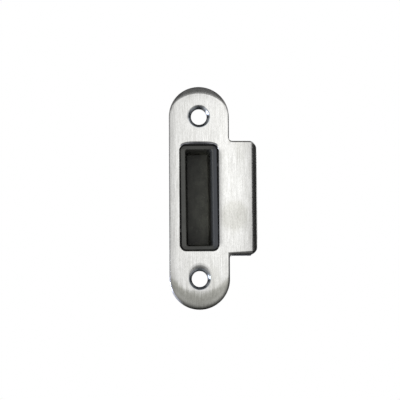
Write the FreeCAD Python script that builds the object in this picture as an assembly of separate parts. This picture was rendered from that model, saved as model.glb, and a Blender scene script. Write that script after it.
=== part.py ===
"""Door strike plate: a brushed steel plate with a bent lip, and a moulded plastic pocket behind its opening.

The plate is one folded sheet. A long strip with round ends carries two countersunk screw holes and the
rounded opening that the latch drops into. A wide tab on one side covers the edge of the frame, and its
end is bent back as a lip, so that the latch rides up on it. The belt that brushed the face also wore
soft falls into it: at both round ends, over the opening and over each screw hole.
The pocket is one moulding. Its neck fills the opening from behind, its flange lies against the back of
the plate, and its tapered box stands in the mortise and catches the latch.

Frame, in millimetres: X to the right across the strip, towards the lip. Y back into the door frame,
with the plate's back face at 0. Z up along the plate, with 0 half way between the screw holes.
"""

import FreeCAD
import Part
import math
import os

V = FreeCAD.Vector

# Plate: the strip and its sheet
SHEET = 2.0
STRIP_WIDTH = 22.0
FACE_EDGE_ROUND = 0.5

# Plate: opening for the pocket
OPENING_WIDTH = 14.2
OPENING_HEIGHT = 38.9
OPENING_CORNER = 2.2
OPENING_EDGE_ROUND = 0.3

# Plate: screw holes, placed from the opening and the strip's ends
SCREW_TO_OPENING = 10.25
SCREW_TO_END = 11.15
SCREW_HOLE = 5.8
SCREW_COUNTERSINK = 7.8
COUNTERSINK_ANGLE = 90.0
SCREW_SPACING = OPENING_HEIGHT + 2 * SCREW_TO_OPENING
STRIP_LENGTH = SCREW_SPACING + 2 * SCREW_TO_END

# Plate: tab and lip. The tab's lower wall leans out to the back, as the belt left it.
TAB_OVER_OPENING = 1.6
TAB_HEIGHT = OPENING_HEIGHT + 2 * TAB_OVER_OPENING
TAB_DROP = 0.2
TAB_OVER_STRIP = 7.75
TAB_REACH = STRIP_WIDTH / 2 + TAB_OVER_STRIP
TAB_LOW_LEAN = 0.45
TAB_ROOT_FILLET = 1.2
LIP_ANGLE = 78.0
LIP_INSIDE_RADIUS = 0.5
LIP_FLANGE = 2.2
LIP_CORNER_HEIGHT = 9.0

# Plate: falls that the brushing belt wore into the face, each as width, first slope and last slope. Those at
# the ends are flatter than the ends' own round, by the difference in radius.
TOP_FALL = (2.6, 2.0, 34.0)
BOTTOM_FALL = (6.8, 1.4, 9.0)
TOP_FALL_FLATTER = 1.8
BOTTOM_FALL_FLATTER = 11.0
OPENING_FALL = (0.9, 8.0, 38.0)
OPENING_FALL_BOW = 20.0
UPPER_HOLE_FALL = (0.8, 12.0, 36.0)
LOWER_HOLE_FALL = (1.64, 5.0, 25.0)
HOLE_FALL_BOW = 3.85

# Pocket: neck and rim in the opening
NECK_GAP_SIDE = 0.4
NECK_GAP_END = 0.4
NECK_CORNER = 1.8
RIM_SETBACK = 0.3
RIM_EDGE_ROUND = 0.25
RIM_SIDE = 1.75
RIM_END = 1.35
MOUTH_WIDTH = OPENING_WIDTH - 2 * (NECK_GAP_SIDE + RIM_SIDE)
MOUTH_HEIGHT = OPENING_HEIGHT - 2 * (NECK_GAP_END + RIM_END)
MOUTH_CORNER = 0.8
MOUTH_EDGE_ROUND = 0.3
POCKET_LEAN = 0.6

# Pocket: box behind the plate
POCKET_DEPTH = 11.5
SIDE_DRAFT = 4.4
END_DRAFT = 3.3
FLOOR_FILLET = 0.6
WALL = 1.3
FLOOR = 1.3
BOX_EDGE_ROUND = 0.8

# Pocket: flange and grip ribs
FLANGE_LAP = 1.6
FLANGE_THICKNESS = 1.0
FLANGE_CORNER = 2.6
FLANGE_EDGE_BEVEL = 0.3
GRIP_RIB_WIDTH = 1.2
GRIP_RIB_SPACING = 24.0
GRIP_RIB_SETBACK = 0.7

MARGIN = 1.0
FACE = -SHEET
"""Y of the plate's front face."""


def slab(wire, y0, y1):
    """The solid between two depths whose outline is a wire drawn in the XZ plane at y = 0."""
    face = Part.Face(wire)
    face.translate(V(0, y0, 0))
    return face.extrude(V(0, y1 - y0, 0))


def rounded_rectangle(width, height, corner, y=0.0):
    """A closed wire in the XZ plane at a depth, centred on the origin, with round corners."""
    half_w = width / 2
    half_h = height / 2
    bend = corner * (1 - math.sqrt(0.5))
    edges = []
    for turn in range(4):
        side = (half_w, half_h) if turn % 2 == 0 else (half_h, half_w)
        start = V(side[0] - corner, 0, side[1])
        middle = V(side[0] - bend, 0, side[1] - bend)
        end = V(side[0], 0, side[1] - corner)
        after = V(side[0], 0, -side[1] + corner)
        pieces = [Part.Arc(start, middle, end).toShape(), Part.LineSegment(end, after).toShape()]
        for piece in pieces:
            piece.rotate(V(0, 0, 0), V(0, 1, 0), 90.0 * turn)
            piece.translate(V(0, y, 0))
            edges.append(piece)
    return Part.Wire(edges)


def box_between(x0, x1, y0, y1, z0, z1):
    """A plain block given by its limits."""
    return Part.makeBox(x1 - x0, y1 - y0, z1 - z0, V(x0, y0, z0))


def edges_at_depth(shape, y):
    """The edges of a shape that lie wholly at one depth."""
    found = []
    for edge in shape.Edges:
        box = edge.BoundBox
        if abs(box.YMin - y) < 1e-4 and abs(box.YMax - y) < 1e-4:
            found.append(edge)
    return found


def strip():
    """The long strip with round ends."""
    radius = STRIP_WIDTH / 2
    straight = STRIP_LENGTH / 2 - radius
    outline = Part.Wire([
        Part.Arc(V(radius, 0, straight), V(0, 0, straight + radius), V(-radius, 0, straight)).toShape(),
        Part.LineSegment(V(-radius, 0, straight), V(-radius, 0, -straight)).toShape(),
        Part.Arc(V(-radius, 0, -straight), V(0, 0, -straight - radius), V(radius, 0, -straight)).toShape(),
        Part.LineSegment(V(radius, 0, -straight), V(radius, 0, straight)).toShape(),
    ])
    return slab(outline, FACE, 0.0)


def lip_point(run, inward):
    """(x, y) at a run along the lip's outer surface from the bend's start, a distance into the sheet."""
    outside = LIP_INSIDE_RADIUS + SHEET
    angle = math.radians(LIP_ANGLE)
    bend_run = outside * angle
    turned = min(max(run, 0.0), bend_run) / outside
    straight = max(run - bend_run, 0.0)
    reach = outside - inward
    x = TAB_REACH + reach * math.sin(turned) + straight * math.cos(angle)
    y = FACE + outside - reach * math.cos(turned) + straight * math.sin(angle)
    return x, y


def lip_run():
    """The length of the lip's outer surface, from the bend's start to its free end."""
    return (LIP_INSIDE_RADIUS + SHEET) * math.radians(LIP_ANGLE) + LIP_FLANGE


def tab_and_lip():
    """The wide tab, from beside the opening to the lip's free end, its lower wall leaning out to the back."""
    bend_run = lip_run() - LIP_FLANGE
    low = -TAB_HEIGHT / 2
    root = OPENING_WIDTH / 2 + MARGIN

    def at(run, inward):
        x, y = lip_point(run, inward)
        return V(x, y, low)

    section = Part.Wire([
        Part.LineSegment(V(root, FACE, low), at(0, 0)).toShape(),
        Part.Arc(at(0, 0), at(bend_run / 2, 0), at(bend_run, 0)).toShape(),
        Part.LineSegment(at(bend_run, 0), at(lip_run(), 0)).toShape(),
        Part.LineSegment(at(lip_run(), 0), at(lip_run(), SHEET)).toShape(),
        Part.LineSegment(at(lip_run(), SHEET), at(bend_run, SHEET)).toShape(),
        Part.Arc(at(bend_run, SHEET), at(bend_run / 2, SHEET), at(0, SHEET)).toShape(),
        Part.LineSegment(at(0, SHEET), V(root, 0, low)).toShape(),
        Part.LineSegment(V(root, 0, low), V(root, FACE, low)).toShape(),
    ])
    overrun = TAB_LOW_LEAN * MARGIN / SHEET
    wedge = Part.makePolygon([V(0, FACE - MARGIN, low - MARGIN), V(0, MARGIN, low - MARGIN),
                              V(0, MARGIN, low - overrun), V(0, FACE - MARGIN, low + TAB_LOW_LEAN + overrun),
                              V(0, FACE - MARGIN, low - MARGIN)])
    tab = Part.Face(section).extrude(V(0, 0, TAB_HEIGHT))
    return tab.cut(Part.Face(wedge).extrude(V(TAB_REACH, 0, 0)))


def lip_corner_cut(lean, steps=12):
    """What the blank's round corner leaves off the lip's upper end. Its wall stands square to the sheet, or
    leans out towards the back."""
    proud = LIP_INSIDE_RADIUS / 2
    last_run = lip_run() * 1.02
    rails = []
    for inward in (-proud, SHEET + proud):
        start = TAB_HEIGHT / 2 - lean * (1 - inward / SHEET)
        points = []
        for i in range(steps + 1):
            turn = math.radians(90.0 * i / steps)
            x, y = lip_point(last_run * math.sin(turn), inward)
            points.append(V(x, y, start - LIP_CORNER_HEIGHT * (1 - math.cos(turn))))
        rail = Part.BSplineCurve()
        rail.interpolate(Points=points, InitialTangent=V(1, 0, 0), FinalTangent=V(0, 0, -1))
        rails.append(rail.toShape())
    wall = Part.makeRuledSurface(rails[0], rails[1])
    return wall.extrude(V(0, 0, LIP_CORNER_HEIGHT + MARGIN))


def mirrored(shape):
    """A shape mirrored in the plate's middle height."""
    return shape.mirror(V(0, 0, 0), V(0, 0, 1))


def fall_points(fall, steps=3):
    """Points (shift, depth) down a round fall, run on straight past both of its ends."""
    width, first, last = fall
    a = math.radians(first)
    b = math.radians(last)
    radius = width / (math.sin(b) - math.sin(a))
    points = [(-math.cos(a) * MARGIN, -math.sin(a) * MARGIN)]
    for i in range(steps + 1):
        angle = a + (b - a) * i / steps
        points.append((radius * (math.sin(angle) - math.sin(a)), radius * (math.cos(a) - math.cos(angle))))
    end_shift, end_depth = points[-1]
    points.append((end_shift + math.cos(b) * MARGIN, end_depth + math.sin(b) * MARGIN))
    return points


def fall_drop(fall):
    """The depth at the end of a fall."""
    return fall_points(fall)[-2][1]


def leaning_disc(bow, apex, fall, way, narrowing=0.0):
    """A stack of discs that follows a fall: the disc's top is at z = apex on the face, and moves up (way 1)
    or down (way -1) with depth, while the disc narrows by a share of the depth."""
    wires = []
    for shift, depth in fall_points(fall):
        radius = bow - narrowing * depth
        centre = V(0, FACE + depth, apex - radius + way * shift)
        circle = Part.Circle(centre, V(0, 1, 0), radius).toShape()
        start = circle.Vertexes[0].Point - centre
        circle.rotate(centre, V(0, 1, 0), math.degrees(math.atan2(start.x, -start.z)))
        wires.append(Part.Wire([circle]))
    return Part.makeLoft(wires, True, False)


def end_fall(fall, bow):
    """What the belt took off the strip's upper end."""
    apex = STRIP_LENGTH / 2 - fall[0]
    keep = leaning_disc(bow, apex, fall, 1)
    lowest = apex - bow / 2
    skin = MARGIN / 100
    block = box_between(-STRIP_WIDTH, STRIP_WIDTH, FACE - skin, FACE + fall_drop(fall) + skin,
                        lowest, STRIP_LENGTH / 2 + MARGIN)
    return block.cut(keep)


def inner_fall(bow, apex, fall, lowest, narrowing=0.0):
    """What the belt took off above an edge inside the plate: a disc with its top at z = apex."""
    disc = leaning_disc(bow, apex, fall, -1, narrowing)
    window = box_between(-bow, bow, FACE - MARGIN, FACE + SHEET, lowest, apex + MARGIN)
    return disc.common(window)


def screw_hole():
    """A countersunk screw hole at the origin."""
    half = SCREW_HOLE / 2
    wide = SCREW_COUNTERSINK / 2
    depth = (wide - half) / math.tan(math.radians(COUNTERSINK_ANGLE / 2))
    bore = Part.makeCylinder(half, SHEET + 2 * MARGIN, V(0, FACE - MARGIN, 0), V(0, 1, 0))
    cone = Part.makeCone(wide, half, depth, V(0, FACE, 0), V(0, 1, 0))
    mouth = Part.makeCylinder(wide, MARGIN, V(0, FACE - MARGIN, 0), V(0, 1, 0))
    return bore.fuse([cone, mouth])


def opening():
    """The rounded opening through the plate."""
    return slab(rounded_rectangle(OPENING_WIDTH, OPENING_HEIGHT, OPENING_CORNER), FACE - MARGIN, MARGIN)


def plate_falls():
    """Every fall that the brushing belt wore into the face."""
    hole_z = SCREW_SPACING / 2
    wide = SCREW_COUNTERSINK / 2
    cone = math.tan(math.radians(COUNTERSINK_ANGLE / 2))
    end = STRIP_WIDTH / 2
    top = end_fall(TOP_FALL, end + TOP_FALL_FLATTER)
    bottom = mirrored(end_fall(BOTTOM_FALL, end + BOTTOM_FALL_FLATTER))
    falls = [top, bottom]
    edge = OPENING_HEIGHT / 2
    falls.append(inner_fall(OPENING_FALL_BOW, edge + OPENING_FALL[0], OPENING_FALL, edge - MARGIN / 2))
    for z, fall in ((hole_z, UPPER_HOLE_FALL), (-hole_z, LOWER_HOLE_FALL)):
        apex = z + wide - cone * fall_drop(fall) + fall[0]
        falls.append(inner_fall(HOLE_FALL_BOW, apex, fall, z + MARGIN, cone))
    return falls


def middle(edge):
    """The point half way along an edge."""
    return edge.valueAt((edge.FirstParameter + edge.LastParameter) / 2)


def depth_in_sheet(point):
    """How far a point lies into the sheet from the outer surface of the plate, bend or lip."""
    outside = LIP_INSIDE_RADIUS + SHEET
    angle = math.radians(LIP_ANGLE)
    x = point.x - TAB_REACH
    y = point.y - FACE - outside
    if x <= 0:
        return point.y - FACE
    if math.atan2(x, -y) <= angle:
        return outside - math.hypot(x, y)
    return outside - (x * math.sin(angle) - y * math.cos(angle))


def on_strip_outline(point):
    """Whether a point lies on the wall round the strip."""
    radius = STRIP_WIDTH / 2
    straight = STRIP_LENGTH / 2 - radius
    beyond = max(abs(point.z) - straight, 0.0)
    return abs(math.hypot(point.x, beyond) - radius) < 1e-3


def front_outline(shape):
    """The edges where the plate's outer surface meets the wall round it."""
    found = []
    for edge in shape.Edges:
        point = middle(edge)
        near_end = abs(point.z + TAB_DROP) > TAB_HEIGHT / 2 - LIP_CORNER_HEIGHT
        on_tab = point.x > STRIP_WIDTH / 2 + 1e-3 and near_end
        if depth_in_sheet(point) < SHEET * 0.45 and (on_tab or on_strip_outline(point)):
            found.append(edge)
    return found


def opening_edge(shape):
    """The front edges round the opening."""
    found = []
    for edge in shape.Edges:
        point = middle(edge)
        inside = abs(point.x) < OPENING_WIDTH / 2 + 1e-3 and abs(point.z) < OPENING_HEIGHT / 2 + 1e-3
        if inside and point.y < FACE + SHEET * 0.45 and edge.BoundBox.YLength < SHEET * 0.45:
            found.append(edge)
    return found


def lip_end(shape):
    """The outer edges of the lip's free end."""
    found = []
    for edge in shape.Edges:
        point = middle(edge)
        if point.y > FACE + SHEET and edge.BoundBox.YLength < 1e-3 and depth_in_sheet(point) < SHEET * 0.45:
            found.append(edge)
    return found


def root_corners(shape):
    """The sharp inner corners where the tab leaves the strip."""
    found = []
    for edge in shape.Edges:
        box = edge.BoundBox
        on_side = abs(box.XMin - STRIP_WIDTH / 2) < 1e-4 and box.XLength < 1e-4
        at_end = abs(abs(box.ZMin + TAB_DROP) - TAB_HEIGHT / 2) < 1e-4
        if on_side and box.ZLength < TAB_LOW_LEAN + 1e-4 and at_end:
            found.append(edge)
    return found


def strike_plate():
    """The whole plate."""
    tab = tab_and_lip().cut([lip_corner_cut(0.0), mirrored(lip_corner_cut(TAB_LOW_LEAN))])
    tab.translate(V(0, 0, -TAB_DROP))
    body = strip().fuse(tab).removeSplitter()
    body = body.makeFillet(TAB_ROOT_FILLET, root_corners(body))
    for z in (SCREW_SPACING / 2, -SCREW_SPACING / 2):
        hole = screw_hole()
        hole.translate(V(0, 0, z))
        body = body.cut(hole)
    body = body.cut(opening())
    body = body.makeFillet(OPENING_EDGE_ROUND, opening_edge(body))
    body = body.cut(plate_falls())
    return body.makeFillet(FACE_EDGE_ROUND, front_outline(body) + lip_end(body))


def tapered(width, height, corner, y0, y1):
    """A drafted block from depth y0, where it is width by height, to y1, with round upright corners."""
    narrow = (y1 - y0) * math.tan(math.radians(SIDE_DRAFT))
    short = (y1 - y0) * math.tan(math.radians(END_DRAFT))
    x = width / 2
    z = height / 2
    plan = Part.makePolygon([V(-x, y0, -z), V(x, y0, -z), V(x - narrow, y1, -z), V(narrow - x, y1, -z),
                             V(-x, y0, -z)])
    side = Part.makePolygon([V(-x, y0, -z), V(-x, y0, z), V(-x, y1, z - short), V(-x, y1, short - z),
                             V(-x, y0, -z)])
    block = Part.Face(plan).extrude(V(0, 0, height)).common(Part.Face(side).extrude(V(width, 0, 0)))
    upright = [edge for edge in block.Edges if edge.BoundBox.YLength > (y1 - y0) / 2]
    return block.makeFillet(corner, upright)


def pocket_cavity():
    """The space inside the pocket, from in front of its rim to its floor."""
    rim = FACE + RIM_SETBACK
    spread_side = 2 * MARGIN * math.tan(math.radians(SIDE_DRAFT))
    spread_end = 2 * MARGIN * math.tan(math.radians(END_DRAFT))
    cavity = tapered(MOUTH_WIDTH + spread_side, MOUTH_HEIGHT + spread_end, MOUTH_CORNER, rim - MARGIN,
                     rim + POCKET_DEPTH)
    return cavity.makeFillet(FLOOR_FILLET, edges_at_depth(cavity, rim + POCKET_DEPTH))


def pocket_box():
    """The tapered box that stands behind the plate."""
    rim = FACE + RIM_SETBACK
    width = MOUTH_WIDTH + 2 * WALL + 2 * rim * math.tan(math.radians(SIDE_DRAFT))
    height = MOUTH_HEIGHT + 2 * WALL + 2 * rim * math.tan(math.radians(END_DRAFT))
    back = rim + POCKET_DEPTH + FLOOR
    box = tapered(width, height, MOUTH_CORNER + WALL, 0.0, back)
    return box.makeFillet(BOX_EDGE_ROUND, edges_at_depth(box, back))


def pocket_neck():
    """The neck that fills the opening, with its rim softened."""
    rim = FACE + RIM_SETBACK
    width = OPENING_WIDTH - 2 * NECK_GAP_SIDE
    height = OPENING_HEIGHT - 2 * NECK_GAP_END
    wire = rounded_rectangle(width, height, NECK_CORNER)
    neck = slab(wire, rim, FLANGE_THICKNESS / 2)
    return neck.makeFillet(RIM_EDGE_ROUND, edges_at_depth(neck, rim))


def pocket_flange():
    """The flange that lies against the plate's back."""
    wire = rounded_rectangle(OPENING_WIDTH + 2 * FLANGE_LAP, OPENING_HEIGHT + 2 * FLANGE_LAP, FLANGE_CORNER)
    flange = slab(wire, 0.0, FLANGE_THICKNESS)
    return flange.makeChamfer(FLANGE_EDGE_BEVEL, edges_at_depth(flange, FLANGE_THICKNESS))


def grip_ribs():
    """Four small ribs that fill the gap beside the neck and hold it in the opening."""
    ribs = []
    inner = MOUTH_WIDTH / 2 + WALL / 2
    outer = OPENING_WIDTH / 2
    for x0, x1 in ((-outer, -inner), (inner, outer)):
        for z in (-GRIP_RIB_SPACING / 2, GRIP_RIB_SPACING / 2):
            ribs.append(box_between(x0, x1, FACE + GRIP_RIB_SETBACK, FLANGE_THICKNESS / 2,
                                    z - GRIP_RIB_WIDTH / 2, z + GRIP_RIB_WIDTH / 2))
    return ribs


def mouth_edge(shape):
    """The edges where the rim turns into the pocket."""
    found = []
    for edge in edges_at_depth(shape, FACE + RIM_SETBACK):
        box = edge.BoundBox
        if max(abs(box.XMin), abs(box.XMax)) < MOUTH_WIDTH / 2 + MOUTH_EDGE_ROUND:
            found.append(edge)
    return found


def latch_pocket():
    """The whole pocket, leaning a little in the opening."""
    body = pocket_neck().fuse([pocket_flange(), pocket_box()])
    body = body.cut(pocket_cavity())
    body = body.makeFillet(MOUTH_EDGE_ROUND, mouth_edge(body))
    body.rotate(V(0, 0, 0), V(0, 1, 0), -POCKET_LEAN)
    return body.fuse(grip_ribs())


def main():
    os.makedirs("parts", exist_ok=True)
    for name, shape in (("strike_plate", strike_plate()), ("latch_pocket", latch_pocket())):
        print(name, shape.isValid(), len(shape.Solids), shape.Volume, shape.BoundBox)
        shape.Solids[0].exportStep("parts/" + name + ".step")


main()
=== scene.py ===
"""Looks for the door strike plate: brushed steel, moulded plastic, a soft studio and the camera.

The plate and the pocket are the frame's own nodes, and get their materials here. The plate stands
upright, as it is fixed to a door frame. X is to the right, Y away from the camera and Z up.
"""

import math

import bmesh
import bpy
from mathutils import Matrix, Vector


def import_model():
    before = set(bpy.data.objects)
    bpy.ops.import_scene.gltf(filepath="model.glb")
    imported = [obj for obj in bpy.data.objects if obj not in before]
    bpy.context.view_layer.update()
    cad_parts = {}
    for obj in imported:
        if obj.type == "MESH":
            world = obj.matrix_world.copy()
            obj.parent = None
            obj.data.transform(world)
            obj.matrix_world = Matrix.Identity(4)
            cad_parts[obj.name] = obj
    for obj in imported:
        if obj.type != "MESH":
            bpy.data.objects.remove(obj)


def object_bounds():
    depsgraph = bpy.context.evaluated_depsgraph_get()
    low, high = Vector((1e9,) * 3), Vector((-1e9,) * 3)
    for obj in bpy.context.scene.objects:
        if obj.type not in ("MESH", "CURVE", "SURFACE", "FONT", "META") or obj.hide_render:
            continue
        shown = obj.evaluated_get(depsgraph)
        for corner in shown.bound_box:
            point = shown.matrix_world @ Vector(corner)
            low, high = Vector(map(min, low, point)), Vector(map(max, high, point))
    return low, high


# Camera: a long lens, a little left of the plate and below it, in metres and degrees
CAMERA_DISTANCE = 0.5
CAMERA_LEFT = 3.5
CAMERA_BELOW = 4.8
CAMERA_ROLL = 0.33
FRAME_WIDTH = 0.1458
SENSOR_MM = 36.0
NEAR_CLIP = 0.01
AIM_RIGHT = 0.0002
AIM_DOWN = 0.00095

WHITE = (1.0, 1.0, 1.0, 1.0)

# Colour sockets of a Mix node
MIX_FIRST = 6
MIX_SECOND = 7
MIX_RESULT = 2

# Where a texture's dark and light tones are reached
TONE_STOPS = (0.3, 0.7)

# Steel: a size is the width across the plate and the length along it, in metres, and a grain is a
# noise's detail and roughness
STEEL_COLOUR = (1.0, 0.998, 0.985, 1.0)
STEEL_DARK = (0.66, 0.656, 0.64, 1.0)
STEEL_CLOUD = (0.88, 0.88, 0.865, 1.0)
STEEL_SPECK = (0.86, 0.86, 0.855, 1.0)
STEEL_ROUGHNESS = 0.24
ROUGHNESS_SWING = 0.05
STEEL_ANISOTROPY = 0.5
STREAK_SIZE = (0.00025, 0.009)
STREAK_GRAIN = (3.0, 0.6)
STREAK_BUMP = (0.15, 0.00002)
SPECK_SIZE = (0.0003, 0.0008)
SPECK_GRAIN = (1.0, 0.5)
CLOUD_SIZE = (0.0022, 0.009)
CLOUD_GRAIN = (5.0, 0.75)
CLOUD_SHIFT = (3.7, 0.0, 1.3)
ACROSS_GRAIN = (1.0, -0.2, 0.0)

# Painted shade and painted sheen on the face, zone by zone: a shade curve is (metres, share of the
# colour that stays), and a FADE curve is (metres, how far the zone has faded out)
# Painted shade towards both long edges, and a painted sheen just right of the middle
PAINTED_SHADE_ACROSS = ((-0.0112, 0.54), (-0.0096, 0.69), (-0.008, 0.86), (-0.002, 0.9), (0.005, 0.96),
               (0.0085, 1.0), (0.0115, 1.0), (0.0145, 0.97), (0.0174, 0.85), (0.0186, 0.72), (0.0195, 0.68))
FACE_FADE = ((-0.0004, 0.0), (-0.0001, 1.0))

# Painted shade at the lower end: a bow with ragged teeth, and darker painted shade along its rim
END_PAINTED_SHADE = ((-0.0390, (0.62, 0.62, 0.59)), (-0.0374, (0.5, 0.5, 0.47)), (-0.0360, (0.54, 0.54, 0.51)),
            (-0.0336, 0.93), (-0.0316, 0.97), (-0.0280, 1.0))
END_SHADE_BOW = 55.0
STRIP_SIDE = 0.0112
END_SHADE_TEETH = 0.004
END_RIM_PAINTED_SHADE = ((0.0, 1.0), (0.0094, 1.0), (0.0098, 0.85), (0.0102, 0.5), (0.0106, 0.22), (0.0112, 0.08))
RIM_FADE = ((-0.0330, 0.0), (-0.0270, 1.0))
RIM_LEFT_FADE = ((-0.0112, 0.8), (-0.0050, 0.2), (-0.0020, 0.0))

# Round patches: centre, half sizes and tone
PATCH_EDGE = 0.45
TAB_PATCH = ((0.0128, 0.0, -0.0068), (0.0066, 1.0, 0.0070), (0.87, 0.867, 0.842))
LOW_PATCH = ((0.0052, 0.0, -0.0300), (0.0030, 1.0, 0.0060), (0.92, 0.92, 0.905))
TOP_PATCH = ((0.0158, 0.0, 0.0180), (0.0032, 1.0, 0.0060), (0.91, 0.91, 0.9))

# Painted shade tinted cool in the countersinks, measured from the holes' middles, and on the lower dish
HOLE_HEIGHT = 0.0297
HOLE_PAINTED_SHADE = ((0.0, (0.56, 0.6, 0.66)), (0.0038, (0.56, 0.6, 0.66)), (0.0043, 1.0))
HOLE_TOP_PAINTED_SHADE = ((0.0, 0.6), (0.0042, 0.6), (0.0046, 1.0))
HOLE_TOP_SLANT = -0.7
HOLE_TOP_FADE = ((0.0312, 1.0), (0.0324, 0.0))
DISH_HEIGHT = -0.0281
DISH_PAINTED_SHADE = ((0.0, 1.0), (0.0020, 1.0), (0.0028, 0.56), (0.0035, 0.68), (0.0039, 0.75), (0.0045, 1.0))

# Painted shade and a cool painted reflection along the opening's top and right edge
OPENING_ARCH = 480000.0
PAINTED_COOL_REFLECTION = (0.31, 0.32, 0.36)
OPENING_TOP_PAINTED_SHADE = ((0.0184, 1.0), (0.0187, 0.15), (0.0196, 0.15), (0.01985, PAINTED_COOL_REFLECTION), (0.0201, PAINTED_COOL_REFLECTION),
                    (0.0203, 0.16), (0.0205, 0.2), (0.0207, 1.0))
OPENING_TOP_FADE = ((0.0064, 0.0), (0.0071, 1.0))
OPENING_RIGHT_PAINTED_SHADE = ((0.0064, 1.0), (0.0070, PAINTED_COOL_REFLECTION), (0.0075, 0.58), (0.0080, 0.7), (0.0086, 0.92),
                      (0.0098, 1.0))
OPENING_RIGHT_FADE = ((0.0162, 0.0), (0.0188, 1.0))

# Painted shade at the tab's foot and along its top, and its slightly darker lower half
TAB_FOOT_RISE = -0.06
TAB_FOOT_PAINTED_SHADE = ((-0.0216, 0.13), (-0.0209, 0.13), (-0.0205, 1.0))
TAB_FOOT_FADE = ((0.0101, 1.0), (0.0108, 0.0))
TAB_LOW_DARKER = ((-0.0212, 1.0), (-0.0207, 0.95), (-0.0070, 0.95), (-0.0030, 1.0))
TAB_LOW_FADE = ((0.0072, 1.0), (0.0090, 0.0))
TAB_TOP_PAINTED_SHADE = ((0.0200, 1.0), (0.0204, 0.75), (0.0208, 0.42))
TAB_TOP_FADE = ((0.0108, 1.0), (0.0116, 0.0))

# Painted shade on the crescent at the upper end, measured from the end's middle
END_HEIGHT = 0.02985
CRESCENT_PAINTED_SHADE = ((0.0, 1.0), (0.0097, 1.0), (0.0102, 0.75), (0.0107, 0.45), (0.0112, 0.45))
CRESCENT_SIDE_FADE = ((0.0048, 1.0), (0.0072, 0.0))
CROWN_PAINTED_SHADE = ((0.0062, 1.0), (0.0070, 0.97), (0.0076, 0.93), (0.0082, 0.89), (0.0094, 0.91), (0.0099, 1.0))
CROWN_SIDE_FADE = ((0.0035, 0.0), (0.0075, 1.0))
CRESCENT_FADE = ((0.0312, 1.0), (0.0328, 0.0))

# Side walls: painted shade, a painted cool highlight along the left, a painted glint on the lower left
# border and a painted cool sheen under the tab. The edge's shade curve is (metres, share of the colour
# that stays), and any other curve is (metres, share that shows)
FOOT_WALL_PAINTED_SHEEN = (0.8, 0.82, 0.86, 1.0)
FOOT_WALL_TOP = -0.0206
FOOT_WALL_FRONT = -0.0016
LIP_BEND_START = 0.0155
SIDE_WALL_PAINTED_SHADE = ((-0.0018, 1.0), (-0.0015, 0.85), (-0.0011, 0.32), (-0.0003, 0.32), (0.0, 1.0))
LEFT_EDGE_ACROSS = ((-0.0111, 1.0), (-0.0104, 0.0))
LEFT_ARC_ACROSS = ((-0.0078, 1.0), (-0.0056, 0.0))
LEFT_ARC_UP = ((-0.0200, 1.0), (-0.0100, 0.0))
LEFT_EDGE_PAINTED_HIGHLIGHT = (0.70, 0.72, 0.79, 1.0)
SIDE_DEEP = ((-0.0018, 0.0), (-0.0013, 1.0), (-0.0003, 1.0), (-0.0001, 0.0))
GLINT_AWAY = ((0.0104, 0.0), (0.0108, 1.0))
GLINT_UP = ((-0.0300, 1.0), (-0.0275, 0.0))
GLINT_TONE = (0.72, 0.74, 0.87, 1.0)

# Studio: each curve is (degrees, brightness), up from below or from left to right, in a tent round
# the front
TENT_RADIUS = 0.8
TENT_BACK = 0.7
TENT_SEGMENTS = 96
TENT_RINGS = 64
WINDOW_TALL = ((-60.0, 0.0), (-30.0, 0.12), (-19.0, 0.38), (-10.0, 0.66), (-3.0, 0.8), (0.0, 0.92),
               (3.5, 1.0), (10.5, 1.0), (13.5, 0.95), (17.0, 0.64), (24.0, 0.25), (36.0, 0.08), (45.0, 0.0))
WINDOW_WIDE = ((-75.0, 0.0), (-50.0, 0.75), (-10.0, 1.0), (5.0, 1.0), (22.0, 1.0), (32.0, 0.0))
WINDOW_STRENGTH = 1.4
DRAPE_TALL = ((-90.0, 0.02), (-10.0, 0.05), (15.0, 0.1), (70.0, 0.11), (82.0, 0.04), (90.0, 0.03))
DRAPE_WIDE = ((-90.0, 1.0), (15.0, 1.0), (40.0, 0.35), (90.0, 0.2))
TABLE_TALL = ((-90.0, 0.0), (-70.0, 0.1), (-55.0, 0.65), (-20.0, 0.75), (-12.0, 0.55), (-6.0, 0.0),
              (90.0, 0.0))
TABLE_WIDE = ((-90.0, 0.8), (-20.0, 0.8), (-6.0, 0.15), (12.0, 0.15), (25.0, 0.85), (60.0, 0.8),
              (90.0, 0.55))
FILL_TALL = ((-90.0, 0.0), (13.0, 0.0), (22.0, 0.6), (50.0, 0.6), (70.0, 0.2), (90.0, 0.1))
FILL_WIDE = ((-90.0, 0.9), (-42.0, 1.0), (-28.0, 0.0), (26.0, 0.0), (40.0, 0.9), (90.0, 0.8))
GLOW_TALL = ((-80.0, 0.0), (-50.0, 0.85), (-8.0, 0.85), (4.0, 0.0))
GLOW_WIDE = ((-90.0, 1.0), (-70.0, 0.7), (-50.0, 0.0))
GLOW_COLOUR = (0.85, 0.88, 1.0, 1.0)
FLAG_PLACE = (0.0, 0.62, -0.45)
FLAG_SIZE = (0.45, 0.5)
FLAG_COLOUR = (0.06, 0.063, 0.07, 1.0)
FLAG_GLOSS = 0.5
FLOOR_Z = -0.9
FLOOR_SIZE = 5.0
FLOOR_GLOSS = 0.0

# Lamps, pointed at the plate's middle: name, place, size in metres, watts and colour
LEFT_LAMP = ("left_fill", (-0.42, -0.17, -0.05), (0.2, 0.2), 3.0, (0.84, 0.88, 1.0))
SPARK_LAMP = ("spark", (-0.45, -0.06, -0.14), (0.14, 0.2), 1.2, (0.8, 0.85, 1.0))

# Plastic: a grain is a noise's scale, detail and roughness. A SHADE curve is (metres, share of the
# colour that stays), and another curve is (metres, share that shows). DUST_SPECKS goes by the noise
RIM_TONES = ((0.034, 0.034, 0.029, 1.0), (0.044, 0.044, 0.038, 1.0))
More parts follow.
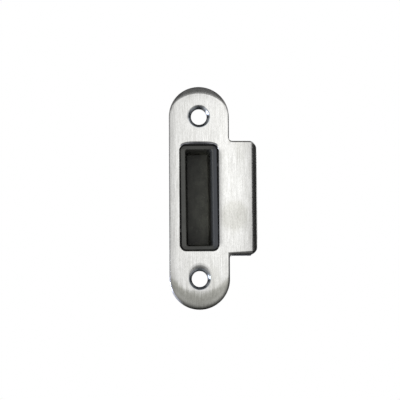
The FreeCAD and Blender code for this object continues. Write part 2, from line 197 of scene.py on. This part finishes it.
# Painted shade, darker and cooler, on the rim's right side
RIM_RIGHT_PAINTED_SHADE = (0.029, 0.031, 0.035, 1.0)
FLOOR_TONES = ((0.052, 0.054, 0.043, 1.0), (0.135, 0.138, 0.11, 1.0))
WALL_TONE = (0.031, 0.032, 0.0325, 1.0)
DUST_TONE = (0.22, 0.22, 0.19, 1.0)
PLASTIC_ROUGHNESS = 0.5
PLASTIC_GLOSS = 0.4
PLASTIC_CLOUD_GRAIN = (260.0, 5.0, 0.6)
PLASTIC_GRAIN = (4000.0, 2.0, 0.5)
PLASTIC_BUMP = (0.2, 0.00003)
DUST_GRAIN = (2600.0, 0.0, 0.5)
DUST_DEPTH = ((-0.0010, 0.0), (0.0085, 1.0), (0.0101, 1.0), (0.0106, 0.0))
INSIDE_ACROSS = ((0.0048, 1.0), (0.0052, 0.0))
INSIDE_TALL = ((0.0176, 1.0), (0.0180, 0.0))
DUST_SPECKS = ((0.0, 0.0), (0.76, 0.0), (0.8, 0.6), (1.0, 0.6))
FLOOR_SHADE_ACROSS = ((-0.0048, 0.09), (-0.0040, 0.2), (-0.0030, 0.44), (-0.0018, 0.56), (0.0003, 0.74),
                      (0.0020, 1.0))
FLOOR_SHADE_UP = ((-0.0165, 0.47), (-0.0095, 0.95), (-0.0055, 1.0), (0.0, 0.9), (0.0040, 0.8),
                  (0.0160, 0.78))
RIM_SHADE_ENDS = ((0.0174, 1.0), (0.0180, 0.68))
RIM_RIGHT = ((0.0046, 0.0), (0.0056, 1.0))
WALL_ACROSS = ((0.0030, 0.0), (0.0034, 0.7), (0.0047, 1.0), (0.0050, 1.0), (0.0053, 0.0))
WALL_DEEP = ((-0.0017, 0.0), (-0.0013, 1.0), (0.0060, 0.9), (0.0095, 0.0))
NECK_WIDTH = 0.0062
NECK_HEIGHT = 0.0190
GAP_SHARE = ((0.0, 0.0), (0.0002, 1.0))
GAP_SHADE = ((-0.0014, 1.0), (-0.0010, 0.15), (0.0004, 0.15), (0.0008, 1.0))

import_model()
cad_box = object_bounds()


class Nodes:
    """A small helper that adds and links shader nodes."""

    def __init__(self, tree):
        self.tree = tree

    def add(self, kind, **settings):
        node = self.tree.nodes.new(kind)
        for key, value in settings.items():
            if key in node.inputs:
                node.inputs[key].default_value = value
            else:
                setattr(node, key, value)
        return node

    def link(self, source, output, target, socket):
        self.tree.links.new(source.outputs[output], target.inputs[socket])


def empty_material(name, kind="ShaderNodeBsdfPrincipled"):
    """A material with only a surface shader and its output."""
    material = bpy.data.materials.new(name)
    material.use_nodes = True
    material.node_tree.nodes.clear()
    nodes = Nodes(material.node_tree)
    shader = nodes.add(kind)
    output = nodes.add("ShaderNodeOutputMaterial")
    nodes.link(shader, 0, output, "Surface")
    return material, nodes, shader


def axes(nodes, place):
    """The three measures of a place: across, deep and up."""
    split = nodes.add("ShaderNodeSeparateXYZ")
    nodes.link(place, "Object", split, "Vector")
    return split.outputs["X"], split.outputs["Y"], split.outputs["Z"]


def noise(nodes, source, output, scale, detail, roughness):
    """A noise texture, read from a place."""
    texture = nodes.add("ShaderNodeTexNoise", Scale=scale, Detail=detail, Roughness=roughness)
    nodes.link(source, output, texture, "Vector")
    return texture


def long_noise(nodes, place, size, grain, shift=(0.0, 0.0, 0.0)):
    """A noise texture with cells drawn out along the plate."""
    width, length = size
    detail, roughness = grain
    stretch = nodes.add("ShaderNodeMapping")
    stretch.inputs["Location"].default_value = shift
    stretch.inputs["Scale"].default_value = (1 / width, 1 / width, 1 / length)
    nodes.link(place, "Object", stretch, "Vector")
    return noise(nodes, stretch, "Vector", 1.0, detail, roughness)


def tones(nodes, source, pair):
    """A dark and a light tone, mixed by a texture."""
    ramp = nodes.add("ShaderNodeValToRGB")
    for element, position, colour in zip(ramp.color_ramp.elements, TONE_STOPS, pair):
        element.position = position
        element.color = colour
    nodes.link(source, "Fac", ramp, "Fac")
    return ramp.outputs["Color"]


def add_bump(nodes, shader, source, strength, distance):
    """A fine relief, made by a texture."""
    bump = nodes.add("ShaderNodeBump", Strength=strength, Distance=distance)
    nodes.link(source, "Fac", bump, "Height")
    nodes.link(bump, "Normal", shader, "Normal")


def multiply(nodes, first, *others):
    """Colours multiplied together."""
    product = first
    for colour in others:
        mix = nodes.add("ShaderNodeMix", data_type="RGBA", blend_type="MULTIPLY")
        mix.inputs["Factor"].default_value = 1.0
        nodes.tree.links.new(product, mix.inputs[MIX_FIRST])
        nodes.tree.links.new(colour, mix.inputs[MIX_SECOND])
        product = mix.outputs[MIX_RESULT]
    return product


def blend(nodes, share, first, second):
    """From a first colour to a second one, linked or plain."""
    mix = nodes.add("ShaderNodeMix", data_type="RGBA")
    nodes.tree.links.new(share, mix.inputs["Factor"])
    for socket, colour in ((mix.inputs[MIX_FIRST], first), (mix.inputs[MIX_SECOND], second)):
        if isinstance(colour, tuple):
            socket.default_value = colour
        else:
            nodes.tree.links.new(colour, socket)
    return mix.outputs[MIX_RESULT]


def sums(nodes, operation, *values):
    """One sum of linked or plain values."""
    node = nodes.add("ShaderNodeMath", operation=operation)
    for socket, value in zip(node.inputs, values):
        if isinstance(value, float):
            socket.default_value = value
        else:
            nodes.tree.links.new(value, socket)
    return node.outputs[0]


def shares(nodes, first, *others):
    """Shares multiplied together."""
    product = first
    for share in others:
        product = sums(nodes, "MULTIPLY", product, share)
    return product


def curve(nodes, value, stops):
    """A smooth curve through stops of (value, result)."""
    low_end = stops[0][0]
    high_end = stops[-1][0]
    spread = nodes.add("ShaderNodeMapRange")
    spread.inputs["From Min"].default_value = low_end
    spread.inputs["From Max"].default_value = high_end
    nodes.tree.links.new(value, spread.inputs["Value"])
    line = nodes.add("ShaderNodeValToRGB")
    line.color_ramp.interpolation = "EASE"
    elements = line.color_ramp.elements
    while len(elements) < len(stops):
        elements.new(0.5)
    for element, (place, result) in zip(elements, stops):
        tone = result if isinstance(result, tuple) else (result, result, result)
        element.position = (place - low_end) / (high_end - low_end)
        element.color = (*tone, 1.0)
    nodes.link(spread, "Result", line, "Fac")
    return line.outputs["Color"]


def radius(nodes, across, up, height):
    """The distance in the plate's plane from a point on its middle line."""
    rise = sums(nodes, "SUBTRACT", up, height)
    square = sums(nodes, "ADD", shares(nodes, across, across), shares(nodes, rise, rise))
    return sums(nodes, "SQRT", square)


def faded(nodes, value, stops, fade_value, fade_stops):
    """A dull zone that fades out along another measure."""
    return blend(nodes, curve(nodes, fade_value, fade_stops), curve(nodes, value, stops), WHITE)


def steel_material():
    """Stainless steel, brushed along the plate's length."""
    material, nodes, shader = empty_material("brushed_steel")
    shader.inputs["Metallic"].default_value = 1.0
    shader.inputs["Anisotropic"].default_value = STEEL_ANISOTROPY
    place = nodes.add("ShaderNodeTexCoord")
    streaks = long_noise(nodes, place, STREAK_SIZE, STREAK_GRAIN)
    clouds = long_noise(nodes, place, CLOUD_SIZE, CLOUD_GRAIN, CLOUD_SHIFT)
    specks = long_noise(nodes, place, SPECK_SIZE, SPECK_GRAIN)
    veil = multiply(nodes, tones(nodes, clouds, (STEEL_CLOUD, WHITE)),
                    tones(nodes, specks, (STEEL_SPECK, WHITE)))
    brushed = multiply(nodes, tones(nodes, streaks, (STEEL_DARK, STEEL_COLOUR)), veil)
    # Painted shade and painted highlights, multiplied into the brushed colour
    brushed_and_painted = multiply(nodes, brushed, painted_steel_shading(nodes, place, streaks))
    nodes.tree.links.new(brushed_and_painted, shader.inputs["Base Color"])
    shine = nodes.add("ShaderNodeMapRange")
    shine.inputs["To Min"].default_value = STEEL_ROUGHNESS - ROUGHNESS_SWING
    shine.inputs["To Max"].default_value = STEEL_ROUGHNESS + ROUGHNESS_SWING
    nodes.link(streaks, "Fac", shine, "Value")
    nodes.link(shine, "Result", shader, "Roughness")
    add_bump(nodes, shader, streaks, *STREAK_BUMP)
    tangent = nodes.add("ShaderNodeCombineXYZ")
    for socket, value in zip(tangent.inputs, ACROSS_GRAIN):
        socket.default_value = value
    nodes.link(tangent, "Vector", shader, "Tangent")
    return material


def painted_steel_shading(nodes, place, streaks):
    """Painted light on the steel: painted shade at edges, slopes and holes, darker patches, painted
    highlights.
    """
    across, deep, up = axes(nodes, place)
    face = multiply(nodes, curve(nodes, across, PAINTED_SHADE_ACROSS), lower_end_painted_shading(nodes, across, up, streaks),
                    hole_painted_shading(nodes, across, up), opening_painted_shading(nodes, across, up),
                    tab_painted_shading(nodes, across, up), crescent_painted_shading(nodes, across, up))
    for centre, size, tone in (TAB_PATCH, LOW_PATCH, TOP_PATCH):
        face = multiply(nodes, face, patch_tone(nodes, place, centre, size, tone))
    face = blend(nodes, glint_share(nodes, across, up), face, GLINT_TONE)
    face = blend(nodes, curve(nodes, deep, FACE_FADE), face, WHITE)
    tone = multiply(nodes, face, side_painted_shading(nodes, across, deep, up))
    # A painted cool sheen on the wall under the tab, in place of the painted edge shade
    return blend(nodes, foot_wall_share(nodes, across, deep, up), tone, FOOT_WALL_PAINTED_SHEEN)


def lower_end_painted_shading(nodes, across, up, streaks):
    """Painted shade at the lower end, bounded by a bow with ragged teeth, and darker painted shade along its
    rim.
    """
    teeth = sums(nodes, "MULTIPLY_ADD", streaks.outputs["Fac"], END_SHADE_TEETH, up)
    level = sums(nodes, "SUBTRACT", teeth, END_SHADE_TEETH / 2)
    on_strip = sums(nodes, "MINIMUM", across, STRIP_SIDE)
    bow = shares(nodes, on_strip, on_strip, END_SHADE_BOW)
    end = curve(nodes, sums(nodes, "SUBTRACT", level, bow), END_PAINTED_SHADE)
    rim = faded(nodes, radius(nodes, across, up, -HOLE_HEIGHT), END_RIM_PAINTED_SHADE, up, RIM_FADE)
    rim = blend(nodes, curve(nodes, across, RIM_LEFT_FADE), rim, WHITE)
    return multiply(nodes, end, rim)


def hole_painted_shading(nodes, across, up):
    """Painted shade tinted cool in the countersinks, more at the upper one's top, and on the lower one's
    dish.
    """
    away = radius(nodes, across, sums(nodes, "ABSOLUTE", up), HOLE_HEIGHT)
    slant = sums(nodes, "MULTIPLY_ADD", across, HOLE_TOP_SLANT, up)
    upper = faded(nodes, away, HOLE_TOP_PAINTED_SHADE, slant, HOLE_TOP_FADE)
    dish = curve(nodes, radius(nodes, across, up, DISH_HEIGHT), DISH_PAINTED_SHADE)
    return multiply(nodes, curve(nodes, away, HOLE_PAINTED_SHADE), upper, dish)


def opening_painted_shading(nodes, across, up):
    """Painted shade and a cool painted reflection along the opening's top and right edge."""
    arch = sums(nodes, "MULTIPLY_ADD", shares(nodes, across, across, across, across), OPENING_ARCH, up)
    top = faded(nodes, arch, OPENING_TOP_PAINTED_SHADE, sums(nodes, "ABSOLUTE", across), OPENING_TOP_FADE)
    right = faded(nodes, across, OPENING_RIGHT_PAINTED_SHADE, sums(nodes, "ABSOLUTE", up), OPENING_RIGHT_FADE)
    return multiply(nodes, top, right)


def tab_painted_shading(nodes, across, up):
    """Painted shade at the tab's foot and along its top, and its slightly darker lower half."""
    slope = sums(nodes, "MULTIPLY_ADD", across, TAB_FOOT_RISE, up)
    return multiply(nodes, faded(nodes, slope, TAB_FOOT_PAINTED_SHADE, across, TAB_FOOT_FADE),
                    faded(nodes, up, TAB_LOW_DARKER, across, TAB_LOW_FADE),
                    faded(nodes, up, TAB_TOP_PAINTED_SHADE, across, TAB_TOP_FADE))


def crescent_painted_shading(nodes, across, up):
    """Painted shade at the ends of the crescent at the upper end, and along its soft lower side."""
    side = sums(nodes, "ABSOLUTE", across)
    away = radius(nodes, across, up, END_HEIGHT)
    ends = faded(nodes, away, CRESCENT_PAINTED_SHADE, side, CRESCENT_SIDE_FADE)
    crown = faded(nodes, away, CROWN_PAINTED_SHADE, side, CROWN_SIDE_FADE)
    return blend(nodes, curve(nodes, up, CRESCENT_FADE), multiply(nodes, ends, crown), WHITE)


def patch_tone(nodes, place, centre, size, tone):
    """A darker round patch."""
    patch = nodes.add("ShaderNodeMapping", vector_type="TEXTURE")
    patch.inputs["Location"].default_value = centre
    patch.inputs["Scale"].default_value = size
    nodes.link(place, "Object", patch, "Vector")
    spot = nodes.add("ShaderNodeTexGradient", gradient_type="SPHERICAL")
    nodes.link(patch, "Vector", spot, "Vector")
    return curve(nodes, spot.outputs["Fac"], ((0.0, 1.0), (PATCH_EDGE, tone), (1.0, tone)))


def glint_share(nodes, across, up):
    """A painted highlight: the pale outline at the lower left, on the rounded border."""
    away = radius(nodes, across, up, -HOLE_HEIGHT)
    return shares(nodes, curve(nodes, away, GLINT_AWAY), curve(nodes, across, LEFT_ARC_ACROSS),
                  curve(nodes, up, GLINT_UP))


def side_painted_shading(nodes, across, deep, up):
    """Painted shade on the side walls, painted cool highlight at the left, lip left as bright as the face.
    """
    on_lip = sums(nodes, "GREATER_THAN", across, LIP_BEND_START)
    edge = sums(nodes, "MAXIMUM", curve(nodes, deep, SIDE_WALL_PAINTED_SHADE), on_lip)
    arc = shares(nodes, curve(nodes, across, LEFT_ARC_ACROSS), curve(nodes, up, LEFT_ARC_UP))
    left = sums(nodes, "MAXIMUM", curve(nodes, across, LEFT_EDGE_ACROSS), arc)
    return blend(nodes, shares(nodes, left, curve(nodes, deep, SIDE_DEEP)), edge, LEFT_EDGE_PAINTED_HIGHLIGHT)


def foot_wall_share(nodes, across, deep, up):
    """The wall under the tab, behind its rounded front edge, which takes a painted cool sheen."""
    beside = sums(nodes, "GREATER_THAN", across, STRIP_SIDE)
    below = sums(nodes, "LESS_THAN", up, FOOT_WALL_TOP)
    behind = sums(nodes, "GREATER_THAN", deep, FOOT_WALL_FRONT)
    return shares(nodes, beside, below, behind)


def plastic_material():
    """Dark grey plastic, matte as it left the mould, dusty down in the pocket."""
    material, nodes, shader = empty_material("pocket_plastic")
    shader.inputs["Specular IOR Level"].default_value = PLASTIC_GLOSS
    shader.inputs["Roughness"].default_value = PLASTIC_ROUGHNESS
    place = nodes.add("ShaderNodeTexCoord")
    nodes.tree.links.new(plastic_colour(nodes, place), shader.inputs["Base Color"])
    add_bump(nodes, shader, noise(nodes, place, "Object", *PLASTIC_GRAIN), *PLASTIC_BUMP)
    return material


def plastic_colour(nodes, place):
    """Rim with painted shade at its right, the dusty floor, the right wall, painted shade in the gap round
    the neck.
    """
    across, deep, up = axes(nodes, place)
    beside = sums(nodes, "ABSOLUTE", across)
    above = sums(nodes, "ABSOLUTE", up)
    clouds = noise(nodes, place, "Object", *PLASTIC_CLOUD_GRAIN)
    rim = blend(nodes, curve(nodes, across, RIM_RIGHT), tones(nodes, clouds, RIM_TONES), RIM_RIGHT_PAINTED_SHADE)
    rim = multiply(nodes, rim, curve(nodes, above, RIM_SHADE_ENDS))
    inside = shares(nodes, curve(nodes, beside, INSIDE_ACROSS), curve(nodes, above, INSIDE_TALL),
                    curve(nodes, deep, DUST_DEPTH))
    colour = blend(nodes, inside, rim, floor_colour(nodes, place, clouds, across, up))
    wall = shares(nodes, curve(nodes, across, WALL_ACROSS), curve(nodes, deep, WALL_DEEP))
    colour = blend(nodes, wall, colour, WALL_TONE)
    past_neck = sums(nodes, "MAXIMUM", sums(nodes, "SUBTRACT", beside, NECK_WIDTH),
                     sums(nodes, "SUBTRACT", above, NECK_HEIGHT))
    shaded = multiply(nodes, colour, curve(nodes, deep, GAP_SHADE))
    return blend(nodes, curve(nodes, past_neck, GAP_SHARE), colour, shaded)


def floor_colour(nodes, place, clouds, across, up):
    """The pocket's floor with its dust, darker at the left and at the lower end."""
    dust = curve(nodes, noise(nodes, place, "Object", *DUST_GRAIN).outputs["Fac"], DUST_SPECKS)
    dusty = blend(nodes, dust, tones(nodes, clouds, FLOOR_TONES), DUST_TONE)
    return multiply(nodes, dusty, curve(nodes, across, FLOOR_SHADE_ACROSS), curve(nodes, up, FLOOR_SHADE_UP))


def dress(name, material):
    """Give a frame node one material."""
    mesh = bpy.data.objects[name].data
    mesh.materials.clear()
    mesh.materials.append(material)


def area_light(name, place, size, power, colour):
    """A soft box at a place, pointed at the plate's middle."""
    data = bpy.data.lights.new(name, "AREA")
    data.shape = "RECTANGLE"
    data.size, data.size_y = size
    data.energy = power
    data.color = colour
    light = bpy.data.objects.new(name, data)
    bpy.context.scene.collection.objects.link(light)
    light.location = place
    light.rotation_euler = (-Vector(place)).to_track_quat("-Z", "Y").to_euler()
    return light


def world():
    """An even white studio, seen behind the object, in reflections and as its soft light."""
    studio = bpy.data.worlds.new("studio")
    bpy.context.scene.world = studio
    studio.use_nodes = True
    studio.node_tree.nodes.clear()
    nodes = Nodes(studio.node_tree)
    white = nodes.add("ShaderNodeBackground", Color=WHITE, Strength=1.0)
    output = nodes.add("ShaderNodeOutputWorld")
    nodes.link(white, "Background", output, "Surface")


def by_angle(nodes, value, stops):
    """A smooth curve through stops of (angle in degrees, brightness), read from a place on the tent."""
    places = [(TENT_RADIUS * math.sin(math.radians(angle)), light) for angle, light in stops]
    return curve(nodes, value, places)


def tent_material():
    """A dim drape with a bright soft-edged window, a light table below and a cool glow at the left."""
    material, nodes, shine = empty_material("tent", "ShaderNodeEmission")
    shine.inputs["Strength"].default_value = WINDOW_STRENGTH
    side, _, up = axes(nodes, nodes.add("ShaderNodeTexCoord"))
    lights = [shares(nodes, by_angle(nodes, up, tall), by_angle(nodes, side, wide))
              for tall, wide in ((WINDOW_TALL, WINDOW_WIDE), (DRAPE_TALL, DRAPE_WIDE),
                                 (TABLE_TALL, TABLE_WIDE), (FILL_TALL, FILL_WIDE))]
    brighter = lights[0]
    for light in lights[1:]:
        brighter = sums(nodes, "MAXIMUM", brighter, light)
    glow = shares(nodes, by_angle(nodes, up, GLOW_TALL), by_angle(nodes, side, GLOW_WIDE))
    nodes.tree.links.new(blend(nodes, glow, brighter, GLOW_COLOUR), shine.inputs["Color"])
    return material


def matte_material(name, colour, gloss):
    """A plain dull material."""
    material, _, shader = empty_material(name)
    shader.inputs["Base Color"].default_value = colour
    shader.inputs["Roughness"].default_value = 1.0
    shader.inputs["Specular IOR Level"].default_value = gloss
    return material


def square(size):
    """A flat square mesh, from minus its size to its size."""
    mesh = bmesh.new()
    bmesh.ops.create_grid(mesh, x_segments=1, y_segments=1, size=size)
    return mesh


def add_piece(name, mesh, material):
    """A piece of the studio, made of a bmesh."""
    data = bpy.data.meshes.new(name)
    mesh.to_mesh(data)
    mesh.free()
    data.materials.append(material)
    piece = bpy.data.objects.new(name, data)
    bpy.context.scene.collection.objects.link(piece)
    return piece


def show_in_reflections_only(piece):
    """Hide a piece of the studio from all but the reflections."""
    piece.visible_camera = False
    piece.visible_diffuse = False
    piece.visible_shadow = False


def tent():
    """A drape round the front half, which only reflections see."""
    mesh = bmesh.new()
    bmesh.ops.create_uvsphere(mesh, u_segments=TENT_SEGMENTS, v_segments=TENT_RINGS, radius=TENT_RADIUS)
    behind = [face for face in mesh.faces if face.calc_center_median().y > TENT_RADIUS * TENT_BACK]
    bmesh.ops.delete(mesh, geom=behind, context="FACES")
    drape = add_piece("tent", mesh, tent_material())
    show_in_reflections_only(drape)


def flag():
    """A black card low behind the plate, which darkens the edges that face down."""
    card = add_piece("flag", square(1.0), matte_material("flag", FLAG_COLOUR, FLAG_GLOSS))
    card.location = FLAG_PLACE
    card.rotation_euler = (math.radians(90.0), 0.0, 0.0)
    card.scale = (FLAG_SIZE[0] / 2, FLAG_SIZE[1] / 2, 1.0)
    show_in_reflections_only(card)


def floor():
    """A plain pale floor, far below."""
    ground = add_piece("floor", square(FLOOR_SIZE), matte_material("floor", WHITE, FLOOR_GLOSS))
    ground.location.z = FLOOR_Z


def camera():
    """The photograph's view."""
    data = bpy.data.cameras.new("view")
    data.sensor_width = SENSOR_MM
    data.lens = SENSOR_MM * CAMERA_DISTANCE / FRAME_WIDTH
    data.clip_start = NEAR_CLIP
    viewer = bpy.data.objects.new("view", data)
    bpy.context.scene.collection.objects.link(viewer)
    left = math.radians(CAMERA_LEFT)
    below = math.radians(CAMERA_BELOW)
    front = cad_box[0][1]
    aim = Vector((AIM_RIGHT, front, -AIM_DOWN))
    back = Vector((-math.sin(left) * math.cos(below), -math.cos(left) * math.cos(below), -math.sin(below)))
    turn = (-back).to_track_quat("-Z", "Y").to_matrix().to_4x4()
    viewer.matrix_world = (Matrix.Translation(aim + back * CAMERA_DISTANCE) @ turn
                           @ Matrix.Rotation(math.radians(-CAMERA_ROLL), 4, "Z"))
    bpy.context.scene.camera = viewer


dress("strike_plate", steel_material())
dress("latch_pocket", plastic_material())
world()
camera()
tent()
flag()
floor()
left_fill = area_light(*LEFT_LAMP)
left_fill.visible_glossy = False
area_light(*SPARK_LAMP)
bpy.context.scene.view_settings.view_transform = "Standard"
